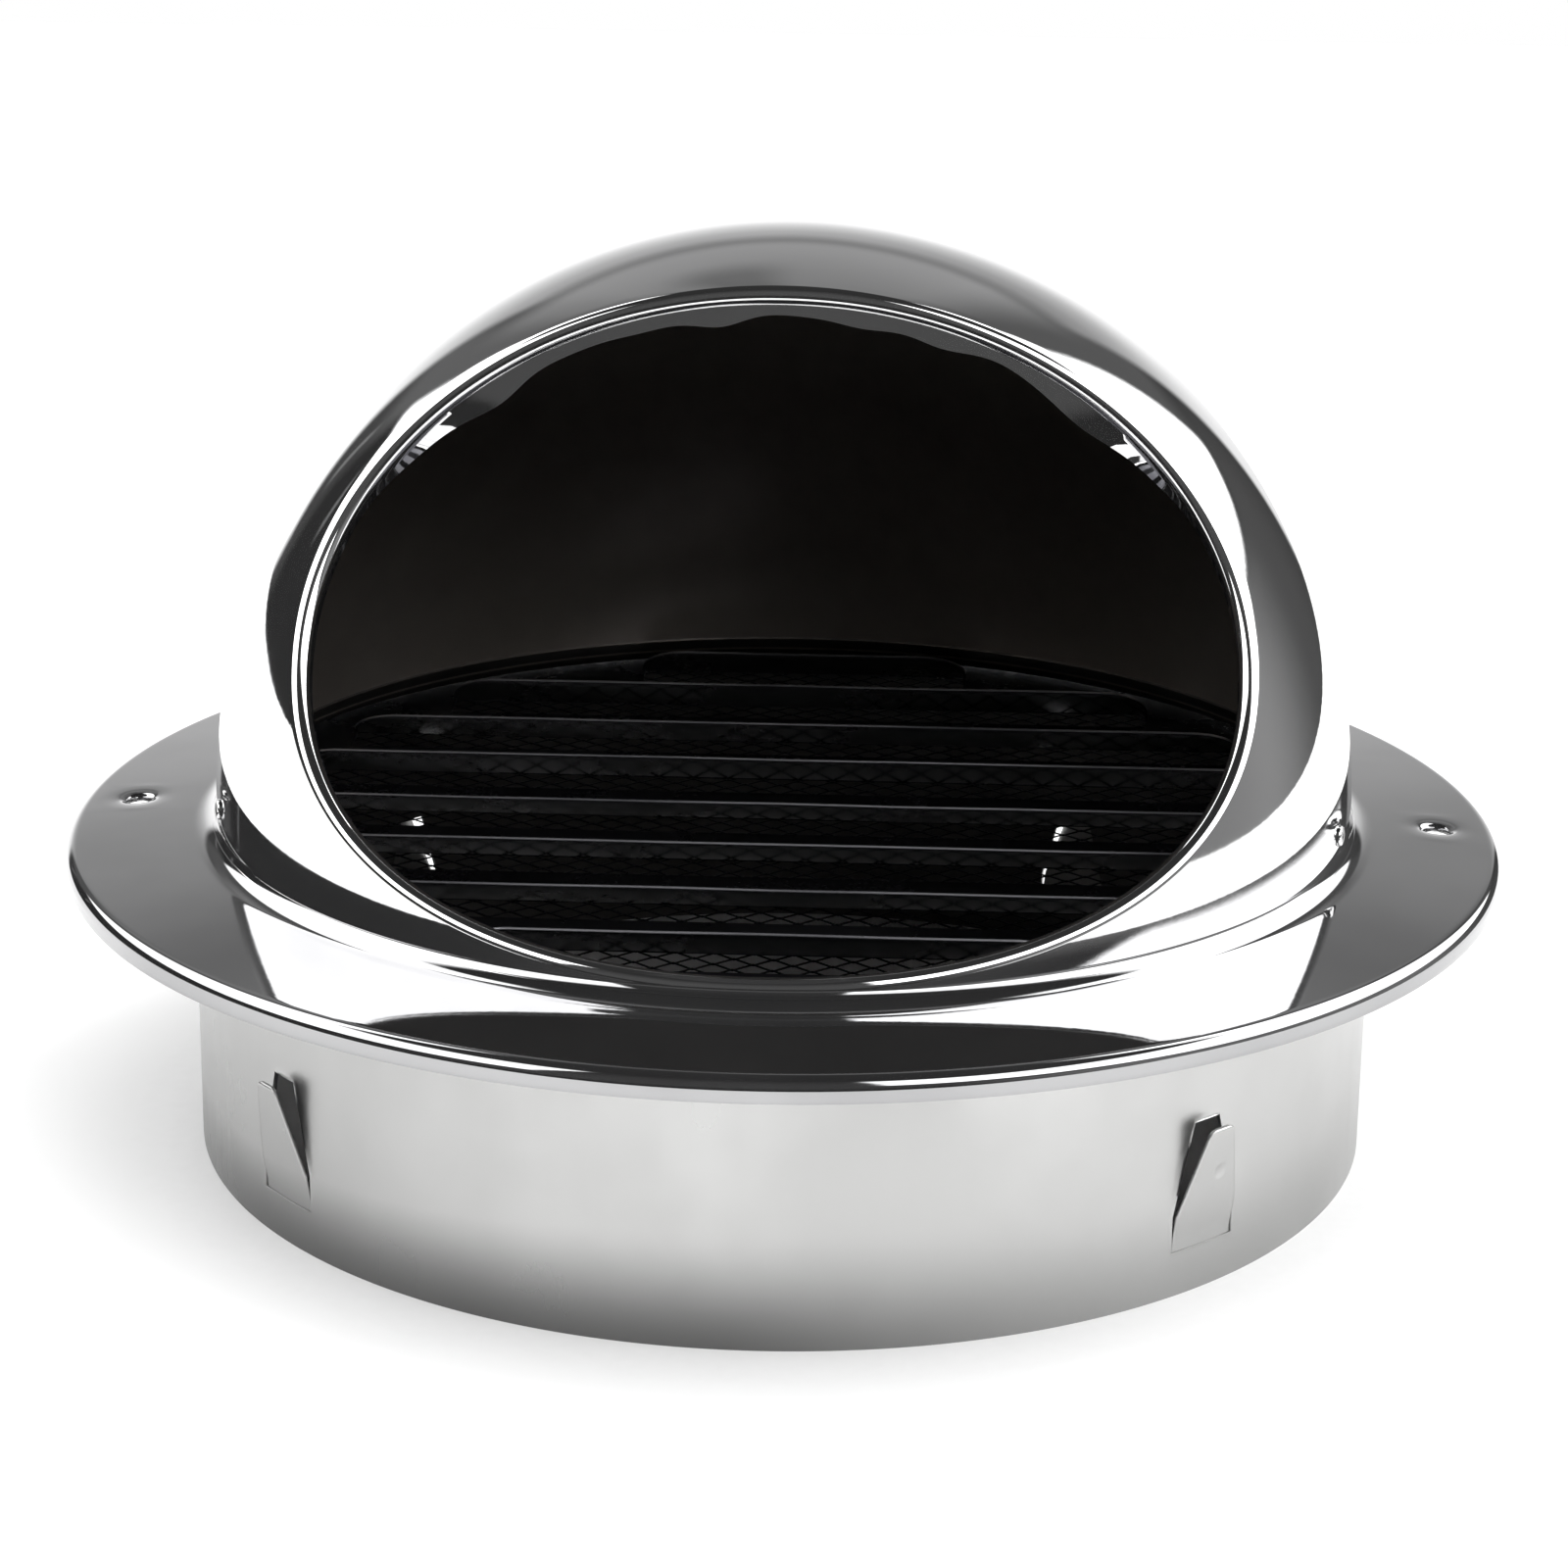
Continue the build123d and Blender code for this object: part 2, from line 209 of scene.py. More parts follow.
# ---------------------------------------------------------------- materials
class Nodes:
    """Small helper that adds shader nodes to one tree."""

    def __init__(self, tree):
        self.tree = tree

    def add(self, kind, **values):
        node = self.tree.nodes.new(kind)
        for key, value in values.items():
            setattr(node, key, value)
        return node

    def link(self, source, target):
        self.tree.links.new(source, target)

    def feed(self, target, value):
        if isinstance(value, bpy.types.NodeSocket):
            self.link(value, target)
        else:
            target.default_value = value

    def math(self, operation, a, b=0.0):
        node = self.add("ShaderNodeMath", operation=operation)
        self.feed(node.inputs[0], a)
        self.feed(node.inputs[1], b)
        return node.outputs[0]

    def span(self, value, low, high, out_low=0.0, out_high=1.0):
        node = self.add("ShaderNodeMapRange", interpolation_type="SMOOTHSTEP")
        self.feed(node.inputs["Value"], value)
        node.inputs["From Min"].default_value = low
        node.inputs["From Max"].default_value = high
        node.inputs["To Min"].default_value = out_low
        node.inputs["To Max"].default_value = out_high
        return node.outputs["Result"]

    def noise(self, coords, scale, detail=2.0, stretch=(1, 1, 1)):
        mapping = self.add("ShaderNodeMapping")
        mapping.inputs["Scale"].default_value = stretch
        self.link(coords, mapping.inputs["Vector"])
        node = self.add("ShaderNodeTexNoise")
        node.inputs["Scale"].default_value = scale
        node.inputs["Detail"].default_value = detail
        self.link(mapping.outputs["Vector"], node.inputs["Vector"])
        return node.outputs["Fac"]

    def mix(self, factor, a, b):
        node = self.add("ShaderNodeMix", data_type="RGBA")
        self.feed(node.inputs["Factor"], factor)
        self.feed(node.inputs["A"], a)
        self.feed(node.inputs["B"], b)
        return node.outputs["Result"]


CLOUD_SIZE = 28.0                    # noise scale of the metal's cloudy patches
CLOUD_COLOUR = (0.35, 0.68)          # noise values over which the colour changes
CLOUD_ROUGH = (0.30, 0.70)           # noise values over which the polish changes
LEAST_ROUGH = 0.02
GRAIN_DEPTH = 0.0001
FOOT_SHADE_COLOUR = (0.03, 0.03, 0.03, 1)         # colour of the painted shade at the sleeve's foot
FOOT_SHADE_HEIGHT = 0.020
FOOT_SHADE_SHARE = 0.72
FOOT_SHADE_FADES = (-0.01, 0.06)           # from here to there along X the painted shade gets thinner
FOOT_SHADE_LEAST = 0.35
LEFT_SHADE_SPAN = (-0.10, -0.01)           # the left side gets a little painted shade all the way up
LEFT_SHADE_SHARE = 0.22


def steel(name, bright, dull, rough, grain, grain_size, bump, stretch=(1, 1, 1), metal=1.0):
    """Stainless steel with cloudy colour, uneven polish and fine grain; metal below 1 adds a haze."""
    material = bpy.data.materials.new(name)
    material.use_nodes = True
    n = Nodes(material.node_tree)
    shader = material.node_tree.nodes["Principled BSDF"]
    shader.inputs["Metallic"].default_value = metal
    coords = n.add("ShaderNodeTexCoord").outputs["Object"]
    clouds = n.noise(coords, CLOUD_SIZE, 3.0)
    fine = n.noise(coords, grain_size, 4.0, stretch)
    cloudy = n.span(clouds, *CLOUD_COLOUR)
    n.link(n.mix(cloudy, (*bright, 1), (*dull, 1)), shader.inputs["Base Color"])
    polish = n.math("MULTIPLY", n.math("SUBTRACT", fine, 0.5), grain)
    base_rough = n.span(clouds, *CLOUD_ROUGH, *rough)
    n.link(n.math("MAXIMUM", n.math("ADD", base_rough, polish), LEAST_ROUGH), shader.inputs["Roughness"])
    relief = n.add("ShaderNodeBump")
    relief.inputs["Strength"].default_value = bump
    relief.inputs["Distance"].default_value = GRAIN_DEPTH
    n.link(fine, relief.inputs["Height"])
    n.link(relief.outputs["Normal"], shader.inputs["Normal"])
    return material


def paint_foot_shade(material):
    """Darken the sleeve's colour towards its lower edge, less on its right side, and a little on its left
    side all the way up: painted shade.
    """
    n = Nodes(material.node_tree)
    shader = material.node_tree.nodes["Principled BSDF"]
    colour = shader.inputs["Base Color"].links[0].from_socket
    split = n.add("ShaderNodeSeparateXYZ")
    n.link(n.add("ShaderNodeTexCoord").outputs["Object"], split.inputs[0])
    foot = n.span(split.outputs["Z"], 0.0, FOOT_SHADE_HEIGHT, FOOT_SHADE_SHARE, 0.0)
    foot = n.math("MULTIPLY", foot, n.span(split.outputs["X"], *FOOT_SHADE_FADES, 1.0, FOOT_SHADE_LEAST))
    left = n.span(split.outputs["X"], *LEFT_SHADE_SPAN, LEFT_SHADE_SHARE, 0.0)
    # dull is the share of painted shade
    dull = n.math("MAXIMUM", foot, left)
    n.link(n.mix(dull, colour, FOOT_SHADE_COLOUR), shader.inputs["Base Color"])


POLISHED = steel(
    "polished_steel", (0.75, 0.75, 0.755), (0.70, 0.70, 0.705),
    rough=(0.02, 0.05), grain=0.03, grain_size=900, bump=0.02, metal=0.985,
)
FLANGE = steel(
    "flange_steel", (0.40, 0.40, 0.405), (0.35, 0.35, 0.355),
    rough=(0.03, 0.06), grain=0.03, grain_size=900, bump=0.02, metal=0.96,
)
INSIDE = steel(
    "satin_inside", (0.38, 0.345, 0.315), (0.30, 0.27, 0.245),
    rough=(0.34, 0.44), grain=0.10, grain_size=600, bump=0.15, metal=0.82,
)
# darker copy of the sheet steel: painted shade on the sleeve's inside and the flange's underside and neck
SHADED_UNDERSIDE = steel(
    "shaded_satin_underside", (0.16, 0.155, 0.15), (0.12, 0.115, 0.11),
    rough=(0.40, 0.50), grain=0.10, grain_size=600, bump=0.10,
)
SLEEVE = steel(
    "satin_sleeve", (0.52, 0.52, 0.515), (0.48, 0.48, 0.475),
    rough=(0.27, 0.33), grain=0.05, grain_size=220, bump=0.04, stretch=(1, 1, 0.10),
)
# dark copy of the sheet steel: painted shade on the louvre plate inside the hood
SHADED_LOUVRE = steel(
    "shaded_louvre_steel", (0.13, 0.13, 0.14), (0.09, 0.09, 0.10),
    rough=(0.22, 0.34), grain=0.08, grain_size=700, bump=0.05,
)
# lighter copy of the louvre steel on the lip faces: a painted highlight line
LOUVRE_LIP_HIGHLIGHT = steel(
    "louvre_lip_highlight_steel", (0.32, 0.32, 0.34), (0.14, 0.14, 0.15),
    rough=(0.40, 0.60), grain=0.10, grain_size=700, bump=0.05,
)
# near-black steel: painted shade on the screen inside the duct
SHADED_SCREEN = steel(
    "shaded_screen_steel", (0.040, 0.040, 0.046), (0.022, 0.022, 0.026),
    rough=(0.28, 0.40), grain=0.10, grain_size=900, bump=0.10,
)
RIVET = steel(
    "rivet_steel", (0.80, 0.80, 0.80), (0.70, 0.70, 0.70),
    rough=(0.06, 0.12), grain=0.05, grain_size=900, bump=0.05,
)
# painted shade on the sleeve's foot and left side
paint_foot_shade(SLEEVE)


# ---------------------------------------------------------------- hood
HOOD_COLUMNS = 400
EDGE_DROP = 0.0018                   # the skirt's flare starts this far under the ball's centre
FLARE_R = 0.0013
MOUTH_AXIS = Vector((0, -cos(radians(MOUTH_TILT)), sin(radians(MOUTH_TILT))))
MOUTH_UP = Vector((0, sin(radians(MOUTH_TILT)), cos(radians(MOUTH_TILT))))
MOUTH_SIDE = Vector((1, 0, 0))
TUCK_FROM = 0.35                     # sine of the turn where the lip's top tuck starts
TUCK_OVER = 0.5                      # and the sine over which it reaches its full lean
HEM_WAVES = ((11, 0.50, 0.6), (19, 0.35, 0.0), (29, 0.15, 1.1))   # count, share and start of each
LIP_WALL_STEPS = 4
LIP_BEND_STEPS = 12
OUTSIDE_STEPS = 110
INSIDE_STEPS = 60
FLARE_STEPS = 6
POLISHED_LIP_ROWS = 10               # rows of the lip's inner side that are still polished
MOUTH_SEARCH_STEPS = 40


def mouth_radius(turn):
    """Distance from the mouth's axis to its edge, for a direction round that axis in radians."""
    low = 0.0
    high = 2 * MOUTH_HALF_WIDTH
    for _ in range(MOUTH_SEARCH_STEPS):
        middle = (low + high) / 2
        x = abs(middle * cos(turn)) / MOUTH_HALF_WIDTH
        v = abs(middle * sin(turn) - MOUTH_OFFSET) / MOUTH_HALF_HEIGHT
        if x ** MOUTH_EXPONENT + v ** MOUTH_EXPONENT < 1:
            low = middle
        else:
            high = middle
    return low


def hood_column(turn):
    """Closed outline of the hood's sheet in the half-plane at one turn about the mouth's axis."""
    out = MOUTH_SIDE * cos(turn) + MOUTH_UP * sin(turn)
    centre = Vector((0, 0, HOOD_CENTRE))

    def place(radial, along):
        return centre + out * radial + MOUTH_AXIS * along

    start = asin((mouth_radius(turn) + LIP_BEND_R) / (HOOD_R - LIP_BEND_R))
    a = MOUTH_AXIS.z
    b = out.z
    end = atan2(b, a) + acos(-EDGE_DROP / HOOD_R / hypot(a, b))
    bend = ((HOOD_R - LIP_BEND_R) * sin(start), (HOOD_R - LIP_BEND_R) * cos(start))
    outer = []
    inner = []
    top = min(1.0, max(0.0, (sin(turn) - TUCK_FROM) / TUCK_OVER))
    top = top * top * (3 - 2 * top)
    hem = sum(share * sin(waves * turn + start_at) for waves, share, start_at in HEM_WAVES)
    wall = LIP_WALL + top * (LIP_WALL_TOP - LIP_WALL + hem * LIP_HEM)
    tuck = top * (LIP_TUCK + LIP_TUCK_PLAY * hem)
    for radius, into in ((LIP_BEND_R, outer), (LIP_BEND_R - SHEET, inner)):
        for i in range(LIP_WALL_STEPS):
            depth = wall * (1 - i / LIP_WALL_STEPS)
            into.append(place(bend[0] - radius - tuck * depth, bend[1] - depth))
        first = 180.0
        last = 90.0 - degrees(start)
        for i in range(LIP_BEND_STEPS + 1):
            t = radians(first + (last - first) * i / LIP_BEND_STEPS)
            into.append(place(bend[0] + radius * cos(t), bend[1] + radius * sin(t)))
    for radius, into, steps in ((HOOD_R, outer, OUTSIDE_STEPS), (HOOD_R - SHEET, inner, INSIDE_STEPS)):
        for i in range(1, steps + 1):
            t = start + (end - start) * i / steps
            into.append(place(radius * sin(t), radius * cos(t)))
    foot = outer[-1]
    away = Vector((foot.x, foot.y, 0)).normalized()
    hinge = foot + away * FLARE_R
    for radius, into in ((FLARE_R, outer), (FLARE_R + SHEET, inner)):
        last = 180 + degrees(asin((foot.z - HOOD_EDGE) / FLARE_R))
        for i in range(1, FLARE_STEPS + 1):
            t = radians(180 + (last - 180) * i / FLARE_STEPS)
            point = hinge + away * radius * cos(t)
            point.z = max(hinge.z + radius * sin(t), HOOD_EDGE)
            into.append(point)
    return outer, inner


def make_hood():
    """Ball hood with its in-turned mouth edge and flared skirt."""
    points = []
    rows = 0
    for i in range(HOOD_COLUMNS):
        outer, inner = hood_column(2 * pi * i / HOOD_COLUMNS)
        loop = outer + inner[::-1]
        rows = len(loop)
        outer_count = len(outer)
        points += loop
    faces = loop_faces(HOOD_COLUMNS, rows)
    steels = [POLISHED, INSIDE]
    hood = piece("hood_shell", points, faces, steels, "vent", ["hood"])
    for polygon in hood.data.polygons:
        row = polygon.index % rows
        polygon.material_index = 1 if outer_count <= row < rows - POLISHED_LIP_ROWS else 0
    return hood


make_hood()


# ---------------------------------------------------------------- flange
FLANGE_COLUMNS = 480
FLANGE_FLAT_STEPS = 40
HOLE_BLOCK_COLUMNS = 5               # cells on each side of a screw hole
HOLE_BLOCK_MARGIN = 0.0010
FLANGE_SLOPE = 3.5                   # the flange falls slightly outwards
FILLET_R = HOOD_CENTRE - FLANGE_TOP
NECK_STEPS = 24
RIM_STEPS = 16
RIM_WALL_STEPS = 4
UNDER_RIM_STEPS = 8
UNDER_NECK_STEPS = 12
DIMPLE_MARGIN = 0.0012               # the sheet starts to sink this far outside a dimple
DIMPLE_SINK = (                      # distance from the hole's axis, and depth there
    (DIMPLE_R + DIMPLE_MARGIN, 0.0), (DIMPLE_R + 0.0002, 0.00001), (DIMPLE_R - 0.0008, 0.00004),
    (DIMPLE_R - 0.0018, 0.00010), (DIMPLE_R - 0.0024, 0.00020), (SCREW_HOLE_R + 0.0005, 0.00040),
    (SCREW_HOLE_R + 0.0002, 0.00058), (SCREW_HOLE_R + 0.00005, 0.00070), (SCREW_HOLE_R, DIMPLE_DEPTH),
)


def flange_height(radius):
    """Height of the flange's upper side at a distance from the vent's axis."""
    return FLANGE_TOP - tan(radians(FLANGE_SLOPE)) * (radius - SCREW_PCD_R)


def beside_flange(radius, bend):
    """Centre of a bend that touches the flange's upper side, above it or (negative) under it."""
    return (radius, flange_height(radius) + bend / cos(radians(FLANGE_SLOPE)))


NECK_FILLET = beside_flange(NECK_R + FILLET_R, FILLET_R)
RIM_AT = beside_flange(FLANGE_R - RIM_BEND_R, -RIM_BEND_R)


def flange_profile():
    """Closed outline of the flange's sheet, with the first rows of its upper and lower flats."""
    neck_turn = 180 + degrees(asin((NECK_FILLET[1] - NECK_TOP) / FILLET_R))
    foot_turn = 270 - FLANGE_SLOPE
    top_turn = 90 - FLANGE_SLOPE
    loop = arc_points(NECK_FILLET, FILLET_R, neck_turn, foot_turn, NECK_STEPS)
    upper = len(loop) - 1
    rim = arc_points(RIM_AT, RIM_BEND_R, top_turn, 0, RIM_STEPS)
    loop += line_points(loop[-1], rim[0], FLANGE_FLAT_STEPS)[1:] + rim
    loop += line_points((FLANGE_R, RIM_AT[1]), (FLANGE_R, RIM_FOOT), RIM_WALL_STEPS)[1:]
    loop += [(FLANGE_R - SHEET / 4, RIM_FOOT), (FLANGE_R - 3 * SHEET / 4, RIM_FOOT)]
    rim_inside = FLANGE_R - SHEET
    loop += line_points((rim_inside, RIM_FOOT + SHEET / 4), (rim_inside, RIM_AT[1]), RIM_WALL_STEPS - 1)
    loop += arc_points(RIM_AT, RIM_BEND_R - SHEET, 0, top_turn, UNDER_RIM_STEPS)
    lower = len(loop) - 1
    neck = arc_points(NECK_FILLET, FILLET_R + SHEET, foot_turn, neck_turn, UNDER_NECK_STEPS)
    loop += line_points(loop[-1], neck[0], FLANGE_FLAT_STEPS)[1:] + neck
    return loop, upper, lower + FLANGE_FLAT_STEPS


def screw_hole(points, faces, rows, middle, first, last, upper, lower):
    """Dimpled screw hole in a block of cells round one column; faces of the block are left out before."""
    cells = frame_of_cells(middle - HOLE_BLOCK_COLUMNS, middle + HOLE_BLOCK_COLUMNS, first, last)
    turn = 2 * pi * middle / FLANGE_COLUMNS
    out = Vector((cos(turn), sin(turn), 0))
    centre = out * SCREW_PCD_R
    rings = []
    for base, side, level in ((upper, 1, FLANGE_TOP), (lower, -1, FLANGE_UNDERSIDE)):
        ring = [(c % FLANGE_COLUMNS) * rows + base + side * r for c, r in cells]
        bearings = []
        for number in ring:
            away = Vector(points[number]) - centre
            away.z = 0
            bearings.append(away.normalized())
        for radius, depth in DIMPLE_SINK:
            drop = min(depth, DIMPLE_DEPTH - SHEET / 8) if side < 0 else depth
            place = []
            for b in bearings:
                at = centre + b * radius
                at.z = flange_height(at.dot(out)) + level - FLANGE_TOP - drop
                place.append(tuple(at))
            new = add_ring(points, place)
            bridge(faces, ring, new)
            ring = new
        rings.append(ring)
    bridge(faces, rings[0], rings[1])


def make_flange():
    """Mounting flange with its rolled rim, neck and two dimpled screw holes."""
    loop, upper, lower = flange_profile()
    rows = len(loop)
    flat_start = loop[upper][0]
    step = (loop[upper + FLANGE_FLAT_STEPS][0] - flat_start) / FLANGE_FLAT_STEPS
    reach = DIMPLE_R + DIMPLE_MARGIN + HOLE_BLOCK_MARGIN
    first = int((SCREW_PCD_R - reach - flat_start) / step)
    last = int((SCREW_PCD_R + reach - flat_start) / step) + 1
    last = min(last, FLANGE_FLAT_STEPS)
    points = []
    for i in range(FLANGE_COLUMNS):
        turn = 2 * pi * i / FLANGE_COLUMNS
        for radius, z in loop:
            points.append((radius * cos(turn), radius * sin(turn), z))
    skip = set()
    holes = (0, FLANGE_COLUMNS // 2)
    for middle in holes:
        for c in range(middle - HOLE_BLOCK_COLUMNS, middle + HOLE_BLOCK_COLUMNS):
            for r in range(first, last):
                skip.add((c % FLANGE_COLUMNS, upper + r))
                skip.add((c % FLANGE_COLUMNS, lower - r - 1))
    faces = loop_faces(FLANGE_COLUMNS, rows, skip)
    for middle in holes:
        screw_hole(points, faces, rows, middle, first, last, upper, lower)
    # the flange's underside gets the painted-shade steel
    steels = [FLANGE, SHADED_UNDERSIDE]
    flange = piece("flange", points, faces, steels, "vent", ["flange_collar"])
    plain = FLANGE_COLUMNS * rows
    for polygon in flange.data.polygons:
        if all(index < plain and index % rows > lower for index in polygon.vertices):
            polygon.material_index = 1
    return flange


make_flange()


# ---------------------------------------------------------------- sleeve
SLEEVE_COLUMNS = 480
SLEEVE_STEPS = 60
WINDOW_PLAY = 0.00018
WINDOW_BURR = 0.00016
WINDOW_BLOCK = (9, 0.0022)           # columns on each side, and height above and below
WINDOW_RINGS = (                     # share of the way to the window's edge, and share of the burr
    (0.5, 0.0), (0.82, 0.05), (0.93, 0.45), (0.985, 1.0), (1.0, 0.6),
)
SLEEVE_BEND_STEPS = 6


def tab_outline(side, foot):
    """Outline of a tab across and up the sleeve, grown by its play at the sides and foot."""
    return [Vector(p) for p in (
        (-TAB_HALF_ROOT - side, -foot), (TAB_HALF_ROOT + side, -foot),
        (TAB_HALF_ROOT + side, TAB_STRAIGHT), (TAB_HALF_TOP + side, TAB_LENGTH + side),
        (-TAB_HALF_TOP - side, TAB_LENGTH + side), (-TAB_HALF_ROOT - side, TAB_STRAIGHT),
    )]


def on_sleeve(azimuth, across, up, radius):
    """Point on a cylinder round Z, from arc length across and height above the tab's root."""
    turn = radians(azimuth) + across / SLEEVE_R
    return (radius * sin(turn), -radius * cos(turn), TAB_ROOT_Z + up)


def sleeve_window(points, faces, rows, azimuth, cells, inner_end):
    """Window of one tab in a block of cells; faces of the block are left out before."""
    spots = []
    for c, r in cells:
        x, y, z = points[(c % SLEEVE_COLUMNS) * rows + r]
        turn = (degrees(atan2(x, -y)) - azimuth + 180) % 360 - 180
        spots.append(Vector((radians(turn) * SLEEVE_R, z - TAB_ROOT_Z)))
    outline = tab_outline(WINDOW_PLAY, TAB_SLIT)
    edge = outline_hits(outline, Vector((0, TAB_LENGTH / 2)), spots)
    walls = []
    for side in (1, -1):
        base = SLEEVE_R if side > 0 else SLEEVE_R - THIN_SHEET
        ring = [
            (c % SLEEVE_COLUMNS) * rows + (r if side > 0 else inner_end - r) for c, r in cells
        ]
        for share, lift in WINDOW_RINGS:
            lifted = base + lift * WINDOW_BURR if side > 0 else base
            place = []
            for spot, hit in zip(spots, edge):
                at = spot.lerp(hit, share)
                place.append(on_sleeve(azimuth, at.x, at.y, lifted))
            new = add_ring(points, place)
            bridge(faces, ring, new)
            ring = new
        walls.append(ring)
    bridge(faces, walls[0], walls[1])


def make_sleeve(azimuths):
    """Duct sleeve with its out-turned lip and a window for each tab."""
    bend = (SLEEVE_R + SLEEVE_BEND_R, SLEEVE_TOP - THIN_SHEET - SLEEVE_BEND_R)
    loop = line_points((SLEEVE_R, 0), (SLEEVE_R, bend[1]), SLEEVE_STEPS)
    loop += arc_points(bend, SLEEVE_BEND_R, 180, 90, SLEEVE_BEND_STEPS)
    loop += [(LIP_R, SLEEVE_TOP - THIN_SHEET), (LIP_R, SLEEVE_TOP)]
    loop += arc_points(bend, SLEEVE_BEND_R + THIN_SHEET, 90, 180, SLEEVE_BEND_STEPS)
    inner_end = len(loop) - 1 + SLEEVE_STEPS
    inner = SLEEVE_R - THIN_SHEET
    loop += line_points((inner, bend[1]), (inner, 0), SLEEVE_STEPS)[1:]
    loop += [(inner, 0)]
    rows = len(loop)
    points = []
    for i in range(SLEEVE_COLUMNS):
        turn = 2 * pi * i / SLEEVE_COLUMNS
        for radius, z in loop:
            points.append((radius * sin(turn), -radius * cos(turn), z))
    step = bend[1] / SLEEVE_STEPS
    first = int((TAB_ROOT_Z - WINDOW_BLOCK[1]) / step)
    last = int((TAB_ROOT_Z + TAB_LENGTH + WINDOW_BLOCK[1]) / step) + 1
    skip = set()
    blocks = []
    for azimuth in azimuths:
        middle = round(azimuth / 360 * SLEEVE_COLUMNS)
        low = middle - WINDOW_BLOCK[0]
        high = middle + WINDOW_BLOCK[0]
        blocks.append((azimuth, frame_of_cells(low, high, first, last)))
        for c in range(low, high):
            for r in range(first, last):
                skip.add((c % SLEEVE_COLUMNS, r))
                skip.add((c % SLEEVE_COLUMNS, inner_end - r - 1))
    faces = loop_faces(SLEEVE_COLUMNS, rows, skip)
    for azimuth, cells in blocks:
        sleeve_window(points, faces, rows, azimuth, cells, inner_end)
    # the sleeve's inside gets the painted-shade steel
    steels = [SLEEVE, SHADED_UNDERSIDE]
    sleeve = piece("sleeve", points, faces, steels, "vent", ["duct_spigot"])
    for polygon in sleeve.data.polygons:
        away = hypot(polygon.center.x, polygon.center.y)
        if away < inner + THIN_SHEET / 4:
            polygon.material_index = 1
    return sleeve


TAB_BEND = 0.0032                    # length over which a tab bends out
TAB_ROWS = 60
TAB_ACROSS = 30
TAB_CHAMFER = 0.00012
TAB_END_CHAMFER = 3 * TAB_CHAMFER
TAB_ROUND = 0.0011                   # rounding of a tab's free end
TAB_FOOT_BEVEL = 0.22                # slope of a tab's foot, which leaves room for pressing it in
DENT_AT = (0.0012, 0.0125)           # knock on one tab, across and up from its root
DENT_R = 0.0011
DENT_DEPTH = 0.00022


def make_tab(name, azimuth):
    """Tongue that bends out of the sleeve's wall near its root."""
    turn = radians(azimuth)
    out = Vector((sin(turn), -cos(turn), 0))
    side = Vector((cos(turn), sin(turn), 0))
    lean = radians(TAB_LEAN)
    inner = SLEEVE_R - THIN_SHEET
    points = []
    for j in range(TAB_ROWS + 1):
        up = TAB_LENGTH * j / TAB_ROWS
        taper = max(0.0, (up - TAB_STRAIGHT) / (TAB_LENGTH - TAB_STRAIGHT))
        half = TAB_HALF_ROOT + (TAB_HALF_TOP - TAB_HALF_ROOT) * taper
        short = max(0.0, up - TAB_LENGTH + TAB_ROUND) / TAB_ROUND
        half -= TAB_ROUND * (1 - sqrt(max(0.0, 1 - short * short)))
        chamfer = TAB_CHAMFER
        outer = SLEEVE_R
        if j == TAB_ROWS:
            chamfer = TAB_END_CHAMFER
            outer = SLEEVE_R - TAB_END_CHAMFER
        flat = half - TAB_CHAMFER
        across_points = [2 * flat * i / TAB_ACROSS - flat for i in range(TAB_ACROSS + 1)]
        section = [(across, outer) for across in across_points]
        section += [(half, SLEEVE_R - chamfer), (half, inner + TAB_CHAMFER)]
        section += [(-across, inner) for across in across_points]
        section += [(-half, inner + TAB_CHAMFER), (-half, SLEEVE_R - chamfer)]
        bent = min(up, TAB_BEND)
        angle = lean * bent / TAB_BEND
        away = (1 - cos(angle)) * TAB_BEND / lean + (up - bent) * sin(angle)
        rise = sin(angle) * TAB_BEND / lean + (up - bent) * cos(angle)
        for across, radius in section:
            swing = across / SLEEVE_R
            depth = radius * cos(swing) - SLEEVE_R
            if name == "tab_front_right":
                gap = hypot(across - DENT_AT[0], up - DENT_AT[1])
                depth -= DENT_DEPTH * exp(-(gap / DENT_R) ** 4)
            at = out * (SLEEVE_R + away + depth * cos(angle)) + side * radius * sin(swing)
            at.z = TAB_ROOT_Z + rise - depth * sin(angle)
            if j == 0:
                at.z -= TAB_FOOT_BEVEL * depth
            points.append(at)
    rows = len(section)
    faces = []
    for j in range(TAB_ROWS):
        for i in range(rows):
            k = (i + 1) % rows
            faces.append((j * rows + i, j * rows + k, (j + 1) * rows + k, (j + 1) * rows + i))
    faces.append(tuple(range(rows)))
    faces.append(tuple(TAB_ROWS * rows + i for i in range(rows)))
    node = "spring_" + name
    return piece(name + "_tongue", points, faces, [SLEEVE], name, [node])


TAB_AZIMUTHS = {}
for body in ("tab_front_left", "tab_front_right", "tab_rear_left", "tab_rear_right"):
    low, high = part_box("spring_" + body)
    middle = (low + high) / 2
    TAB_AZIMUTHS[body] = degrees(atan2(middle.x, -middle.y))
make_sleeve(TAB_AZIMUTHS.values())
for body, azimuth in TAB_AZIMUTHS.items():
    make_tab(body, azimuth)

# ---------------------------------------------------------------- screen
SCREEN_WAVE = 0.0001                 # strands ride up and down by this much
STRAND_SECTION = ((-0.5, -0.3), (0.5, -0.5), (0.5, 0.3), (-0.5, 0.5))   # corners, as shares of its size


